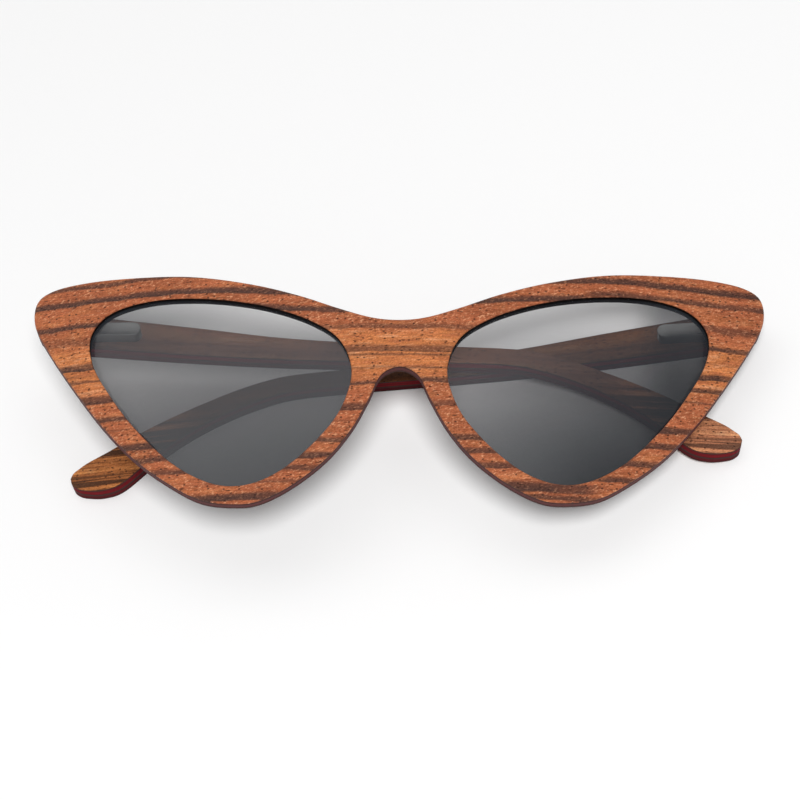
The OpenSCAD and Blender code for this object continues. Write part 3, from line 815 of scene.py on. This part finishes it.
def close_tree(tree, geometry, finish):
    whole = wire_up(tree, "GeometryNodeRealizeInstances", Geometry=geometry).outputs[0]
    dressed = wire_up(tree, "GeometryNodeSetMaterial", Geometry=whole, Material=finish).outputs[0]
    tree.links.new(dressed, tree.nodes.new("NodeGroupOutput").inputs[0])


def spread(tree, x=0.0, y=0.0, z=0.0):
    return wire_up(tree, "ShaderNodeCombineXYZ", X=x, Y=y, Z=z).outputs[0]


def coil_tree():
    """A round wire wound into an open coil along Z."""
    tree, i = new_tree("coil_spring", SPRING)
    path = wire_up(tree, "GeometryNodeCurveSpiral", Resolution=24, Rotations=i["Turns"],
                   Start_Radius=i["Coil Radius"], End_Radius=i["Coil Radius"], Height=i["Length"]).outputs[0]
    ring = wire_up(tree, "GeometryNodeCurvePrimitiveCircle", Resolution=10,
                   Radius=i["Wire Radius"]).outputs[0]
    wire = wire_up(tree, "GeometryNodeCurveToMesh", Curve=path, Profile_Curve=ring, Fill_Caps=True).outputs[0]
    close_tree(tree, wire, i["Finish"])
    return tree


def screw_tree():
    """Two slotted countersunk screws, one above the other along Y, with their heads at Z = 0."""
    tree, i = new_tree("slotted_screws", SCREW)
    head = wire_up(tree, "GeometryNodeMeshCone", Vertices=40, Radius_Top=i["Shank Radius"],
                   Radius_Bottom=i["Head Radius"], Depth=i["Head Depth"]).outputs[0]
    shank = wire_up(tree, "GeometryNodeMeshCylinder", Vertices=32, Radius=i["Shank Radius"],
                    Depth=i["Length"]).outputs[0]
    middle = spread(tree, z=math_node(tree, "MULTIPLY", i["Length"], 0.5))
    shank = wire_up(tree, "GeometryNodeTransform", Geometry=shank, Translation=middle).outputs[0]
    size = spread(tree, math_node(tree, "MULTIPLY", i["Head Radius"], 4.0), i["Slot Width"],
                  math_node(tree, "MULTIPLY", i["Slot Depth"], 2.0))
    slot = wire_up(tree, "GeometryNodeMeshCube", Size=size).outputs[0]
    solid = tree.nodes.new("GeometryNodeMeshBoolean")
    solid.operation = "UNION"
    tree.links.new(head, solid.inputs["Mesh 2"])
    tree.links.new(shank, solid.inputs["Mesh 2"])
    cut = wire_up(tree, "GeometryNodeMeshBoolean", Mesh_1=solid.outputs[0], Mesh_2=slot).outputs[0]
    start = spread(tree, y=math_node(tree, "MULTIPLY", i["Rise"], -1.0))
    step = spread(tree, y=math_node(tree, "MULTIPLY", i["Rise"], 2.0))
    line = wire_up(tree, "GeometryNodeMeshLine", Count=2, Start_Location=start, Offset=step).outputs[0]
    pair = wire_up(tree, "GeometryNodeInstanceOnPoints", Points=line, Instance=cut).outputs[0]
    close_tree(tree, pair, i["Finish"])
    return tree


def grown_piece(name, tree, sizes, finish, place, body, node):
    """The tree's result as a plain mesh, set in its place."""
    holder = bpy.data.objects.new(name + "_maker", bpy.data.meshes.new(name + "_maker"))
    scene.collection.objects.link(holder)
    maker = holder.modifiers.new("maker", "NODES")
    maker.node_group = tree
    for item in tree.interface.items_tree:
        if item.in_out == "INPUT":
            maker[item.identifier] = finish if item.name == "Finish" else float(sizes[item.name])
    bpy.context.view_layer.update()
    made = holder.evaluated_get(bpy.context.evaluated_depsgraph_get())
    mesh = bpy.data.meshes.new_from_object(made)
    mesh.name = name
    holder.modifiers.remove(maker)
    bpy.data.objects.remove(holder)
    bm = bmesh.new()
    bm.from_mesh(mesh)
    bm.transform(Matrix.Scale(MM, 4) @ place)
    bmesh.ops.remove_doubles(bm, verts=bm.verts, dist=WELD * MM)
    bmesh.ops.recalc_face_normals(bm, faces=bm.faces)
    bm.to_mesh(mesh)
    bm.free()
    mesh.shade_smooth()
    mesh.set_sharp_from_angle(angle=SMOOTH_ANGLE)
    return add_piece(name, mesh, body, node)


# Hinges
TOP_MARGIN = 0.01
coil = coil_tree()
screws = screw_tree()
along_rod = Matrix.Translation((SPRING_START, 0, 0)) @ Matrix.Rotation(math.pi / 2, 4, "Y")
for side, place in places.items():
    steel = hinge_steel[side]
    on_leaf = hinge_places[side] @ Matrix.Translation((SCREW_X, 0, LEAF_Z))
    grown_piece(side + "_countersunk_screws", screws, SCREW, turned, on_leaf, "front", side + "_leaf_screws")
    wound = grown_piece(side + "_coil", coil, SPRING, wire_steel, place @ along_rod, side + "_hinge",
                        side + "_hinge_spring")
    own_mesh(wound)

    def on_top(v, back=place.inverted()):
        return (back @ v).z > BOX_TOP - TOP_MARGIN

    softened(side + "_hinge_box", side + "_temple", side + "_spring_box", steel, 0.24,
             segments=4, chosen=on_top)
    eased = [("eased_block", "front", "end_block", "dark_layer", block_wood, 0.3),
             ("leaf", "front", "hinge_leaf", "hinge_steel", steel, 0.07),
             ("sprung_knuckle", side + "_hinge", "hinge_slider", "hinge_steel", steel, 0.07),
             ("pin", "front", "hinge_pin", "screw_steel", turned, 0.06),
             ("nut", side + "_hinge", "rod_nut", "nut_brass", brass, 0.05),
             ("plug", side + "_temple", "box_plug", "hinge_steel", steel, 0.05)]
    for name, body, node, slot, finish, width in eased:
        softened(side + "_" + name, body, side + "_" + node, finish, width)

# Table, in metres
TABLE_GAP = 0.0001
TABLE_HALF = 2
TABLE_CORNERS = [(x * TABLE_HALF, y * TABLE_HALF, 0) for x, y in ((-1, -1), (1, -1), (1, 1), (-1, 1))]
floor_mesh = bpy.data.meshes.new("table_top")
floor_mesh.from_pydata(TABLE_CORNERS, [], [(0, 1, 2, 3)])
table = bpy.data.objects.new("table_top", floor_mesh)
table.location.z = -TABLE_GAP
scene.collection.objects.link(table)
white, _, shader = new_material("white_table")
shader.inputs["Base Color"].default_value = grey(0.97)
shader.inputs["Roughness"].default_value = 0.7
shader.inputs["Specular IOR Level"].default_value = 0.1
floor_mesh.materials.append(white)

# Light: white surroundings, a key lamp beside the camera and a wide softbox overhead
SURROUNDINGS = 0.24
LIT_WALL = 1.3
FAR_WALL = 0.3
WALL_TURN = (0.22, 0.56)
world = bpy.data.worlds.new("white_room")
scene.world = world
world.use_nodes = True
wt = world.node_tree
sky = wt.nodes["Background"]
sky.inputs["Color"].default_value = grey(1)
ray = wt.nodes.new("ShaderNodeLightPath")
seen = math_node(wt, "MAXIMUM", ray.outputs["Is Camera Ray"], ray.outputs["Is Transmission Ray"])
heading = axes_of(wt, wt.nodes.new("ShaderNodeTexCoord").outputs["Generated"])
wall = remap(wt, heading[0], *WALL_TURN, LIT_WALL, FAR_WALL, smooth=True)
brightness = remap(wt, ray.outputs["Is Glossy Ray"], 0.0, 1.0, SURROUNDINGS, wall)
wt.links.new(math_node(wt, "MAXIMUM", brightness, seen), sky.inputs["Strength"])


def soft_lamp(name, shape, where, target, size, size_y, power):
    light = bpy.data.lights.new(name, "AREA")
    light.shape = shape
    light.size = size
    light.size_y = size_y
    light.energy = power
    lamp = bpy.data.objects.new(name, light)
    lamp.location = where
    lamp.rotation_euler = (Vector(target) - Vector(where)).to_track_quat("-Z", "Y").to_euler()
    lamp.visible_glossy = False
    scene.collection.objects.link(lamp)


soft_lamp("key", "DISK", (0.15, -0.61, 1.32), (0, 0, 0), size=0.42, size_y=0.42, power=16.1)
soft_lamp("overhead", "RECTANGLE", (-0.13, 0.26, 1.2), (-0.13, 0.26, 0), size=1.30, size_y=0.56, power=2.2)

# Camera, set by the axes of the front
ELEVATION = math.radians(69)
ROLL = math.radians(-0.196)
DISTANCE = 500
FOCAL_PX = 2545.9
IMAGE_PX = 800
CENTRE_PX = 399.5
SENSOR_MM = 36
CLIP_START = 0.01
towards = Vector((0, -math.cos(ELEVATION), math.sin(ELEVATION)))
upward = Vector((0, math.sin(ELEVATION), math.cos(ELEVATION)))
across = Vector((1, 0, 0))
rightward = across * math.cos(ROLL) + upward * math.sin(ROLL)
upright = upward * math.cos(ROLL) - across * math.sin(ROLL)
front_turn = lay.to_3x3()
optics = bpy.data.cameras.new("camera")
optics.sensor_width = SENSOR_MM
optics.lens = FOCAL_PX / IMAGE_PX * SENSOR_MM
optics.shift_x = (IMAGE_PX / 2 - CENTRE_PX) / IMAGE_PX
optics.clip_start = CLIP_START
camera = bpy.data.objects.new("camera", optics)
axes = Matrix((front_turn @ rightward, front_turn @ upright, front_turn @ towards)).transposed()
camera.matrix_world = Matrix.Translation((lay @ (DISTANCE * towards)) * MM) @ axes.to_4x4()
scene.collection.objects.link(camera)
scene.camera = camera
